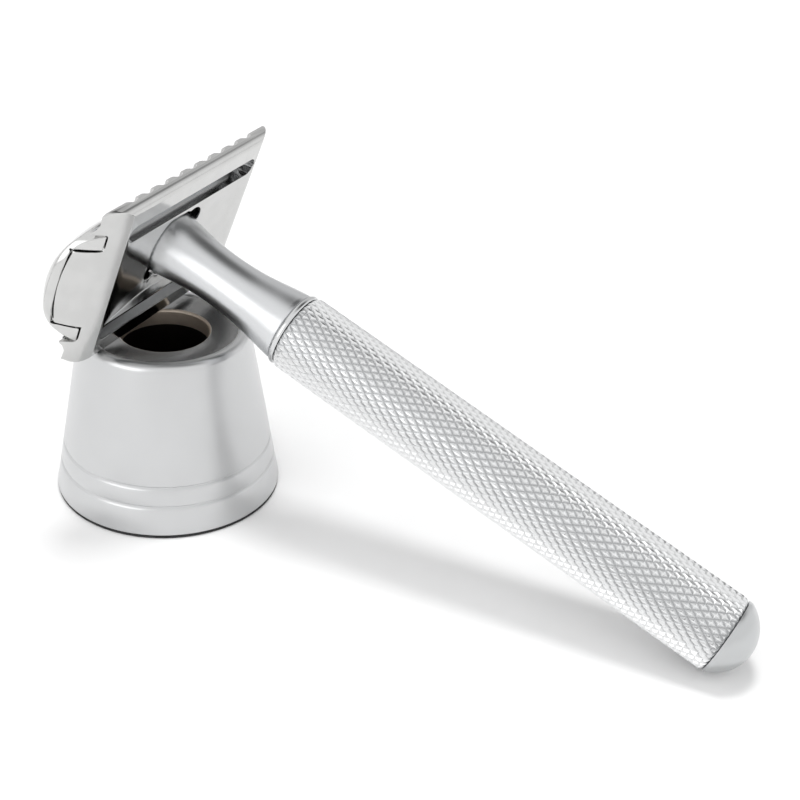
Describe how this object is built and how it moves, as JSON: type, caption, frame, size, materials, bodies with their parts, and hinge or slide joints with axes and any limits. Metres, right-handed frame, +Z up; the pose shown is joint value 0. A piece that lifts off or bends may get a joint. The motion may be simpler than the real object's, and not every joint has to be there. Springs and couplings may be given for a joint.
{
  "type": "safety razor",
  "caption": "Double-edge safety razor with a knurled handle and a clasped three-piece head, leaning on its round tapered metal stand.",
  "frame": {"origin": "centre of the stand's underside, on the surface that the stand and the end of the handle rest on", "axes": "+Z up along the stand's axis; the handle leans down and away towards +X and -Y"},
  "size_m": [0.1024, 0.0668, 0.0534],
  "materials": {
    "stand_metal": "fine bead-blasted satin",
    "pad": "matte",
    "plate_chrome": "polished",
    "cap_chrome": "polished",
    "blade_steel": "bright ground",
    "stud_steel": "machined",
    "neck_satin": "satin",
    "insert_brass": "machined",
    "ring_metal": "satin",
    "grip_knurl": "diamond knurled, satin chrome",
    "core_steel": "machined",
    "end_satin": "satin"
  },
  "bodies": {
    "stand": {"stand_body": "stand_metal", "stand_foot_pad": "pad"},
    "plate": {"base_plate": "plate_chrome"},
    "blade": {"blade": "blade_steel"},
    "cap": {"cap_shell": "cap_chrome", "cap_stud": "stud_steel", "locating_pin_near": "stud_steel", "locating_pin_far": "stud_steel"},
    "handle": {"handle_neck": "neck_satin", "thread_insert": "insert_brass", "collar_ring": "ring_metal", "grip_sleeve": "grip_knurl", "core_rod": "core_steel", "end_cap": "end_satin"}
  },
  "joints": [
    {"name": "razor_lift", "type": "slide", "parent": "stand", "child": "plate", "axis": [0, 0, 1], "range_m": [0, 0.14]},
    {"name": "handle_turn", "type": "hinge", "parent": "plate", "child": "handle", "pos_m": [0.00236, -0.00008, 0.03946], "axis": [0.8359, -0.4131, -0.3613], "range_deg": [0, 2880]},
    {"name": "cap_lift", "type": "slide", "parent": "plate", "child": "cap", "axis": [-0.8359, 0.4131, 0.3613], "range_m": [0, 0.0065]},
    {"name": "blade_lift", "type": "slide", "parent": "plate", "child": "blade", "axis": [-0.8359, 0.4131, 0.3613], "range_m": [0, 0.0033]}
  ],
  "couplings": [
    {"joint": "cap_lift", "follows": "handle_turn", "m_per_rad": 0.00012732},
    {"joint": "blade_lift", "follows": "handle_turn", "m_per_rad": 0.000063662}
  ]
}
